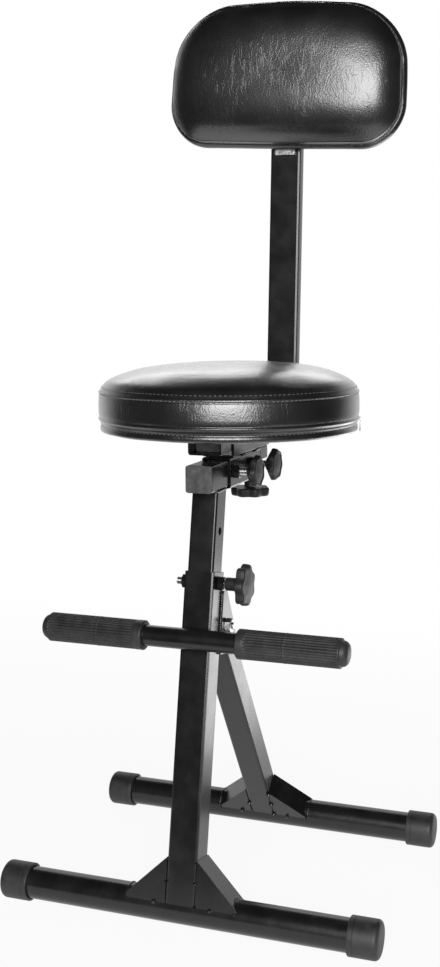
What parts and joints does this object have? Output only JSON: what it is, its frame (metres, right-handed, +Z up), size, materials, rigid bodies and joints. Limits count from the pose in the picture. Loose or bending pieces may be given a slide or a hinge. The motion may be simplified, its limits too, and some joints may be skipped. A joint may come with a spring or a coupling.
{
  "type": "folding guitar stool",
  "caption": "Folding stool with a round padded seat, footrest and padded backrest; a telescoping post and star knobs set the seat height, seat depth and backrest depth.",
  "frame": {"origin": "centre of the standing stool's outer box, on the floor", "axes": "+Z up, -Y towards the footrest at the sitter's front, +X the side of the clamp knobs, the right-hand side seen from the front"},
  "size_m": [0.511, 0.4767, 1.215],
  "materials": {
    "powder_black": "satin black powder coat on steel",
    "plastic_black": "moulded, fine matt",
    "rubber_black": "moulded, matt",
    "zinc": "bright zinc plate",
    "leather_black": "semi-gloss grained black leatherette",
    "board_black": "plywood under a black dust cover",
    "nylon": "plain moulded"
  },
  "bodies": {
    "base": {"front_leg_tube": "powder_black", "front_foot_bar": "powder_black", "front_cap_left": "rubber_black", "front_cap_right": "rubber_black", "front_gusset_left": "powder_black", "front_gusset_right": "powder_black", "footrest_bar": "powder_black", "footrest_grip_left": "rubber_black", "footrest_grip_right": "rubber_black", "height_weld_nut": "powder_black", "height_flange_nut": "powder_black", "height_thread_end": "zinc", "hinge_ear_left": "powder_black", "hinge_ear_right": "powder_black", "pivot_bolt": "zinc", "pivot_nut": "zinc"},
    "rear_leg": {"rear_leg_tube": "powder_black", "rear_foot_bar": "powder_black", "rear_cap_left": "rubber_black", "rear_cap_right": "rubber_black", "rear_gusset_left": "powder_black", "rear_gusset_right": "powder_black"},
    "seat_post": {"seat_post_tube": "powder_black", "head_tube": "powder_black", "head_plug": "plastic_black"},
    "height_knob": {"height_knob_grip": "plastic_black", "height_knob_screw": "zinc"},
    "seat_carrier": {"seat_sleeve": "powder_black", "rear_collar": "powder_black", "front_collar": "powder_black", "clamp_block": "powder_black", "arm_slide_strip": "nylon", "clamp_nut_a": "powder_black", "clamp_nut_b": "powder_black", "seat_plate": "powder_black", "seat_board": "board_black", "seat_screw_1": "zinc", "seat_screw_2": "zinc", "seat_screw_3": "zinc", "seat_screw_4": "zinc", "seat_cushion": "leather_black", "zip_pull": "zinc"},
    "knob_a": {"knob_a_grip": "plastic_black", "knob_a_screw": "zinc"},
    "knob_b": {"knob_b_grip": "plastic_black", "knob_b_screw": "zinc"},
    "knob_c": {"knob_c_grip": "plastic_black", "knob_c_screw": "zinc"},
    "backrest": {"back_arm_tube": "powder_black", "back_arm_plug": "plastic_black", "back_post_tube": "powder_black", "back_post_plug_low": "plastic_black", "back_post_plug_top": "plastic_black", "back_bracket": "powder_black", "back_board": "board_black", "back_bolt_1": "zinc", "back_bolt_2": "zinc", "back_cushion": "leather_black"}
  },
  "joints": [
    {"name": "rear_leg_fold", "type": "hinge", "parent": "base", "child": "rear_leg", "pos_m": [0, -0.11838, 0.37318], "axis": [-1, 0, 0], "range_deg": [0, 44]},
    {"name": "seat_height", "type": "slide", "parent": "base", "child": "seat_post", "axis": [0, 0.184, 0.9829], "range_m": [-0.0665, 0.133]},
    {"name": "height_knob_turn", "type": "hinge", "parent": "base", "child": "height_knob", "pos_m": [0, -0.13726, 0.43267], "axis": [1, 0, 0], "continuous": true},
    {"name": "seat_depth", "type": "slide", "parent": "seat_post", "child": "seat_carrier", "axis": [0, 1, 0], "range_m": [-0.007, 0.05]},
    {"name": "knob_a_turn", "type": "hinge", "parent": "seat_carrier", "child": "knob_a", "pos_m": [0, -0.0806, 0.5703], "axis": [1, 0, 0], "continuous": true},
    {"name": "knob_b_turn", "type": "hinge", "parent": "seat_carrier", "child": "knob_b", "pos_m": [0, -0.0026, 0.5703], "axis": [1, 0, 0], "continuous": true},
    {"name": "knob_c_turn", "type": "hinge", "parent": "seat_carrier", "child": "knob_c", "pos_m": [0, 0.0477, 0.5678], "axis": [0, 0, 1], "continuous": true},
    {"name": "backrest_depth", "type": "slide", "parent": "seat_carrier", "child": "backrest", "axis": [0, 1, 0], "range_m": [-0.045, 0.08]}
  ]
}
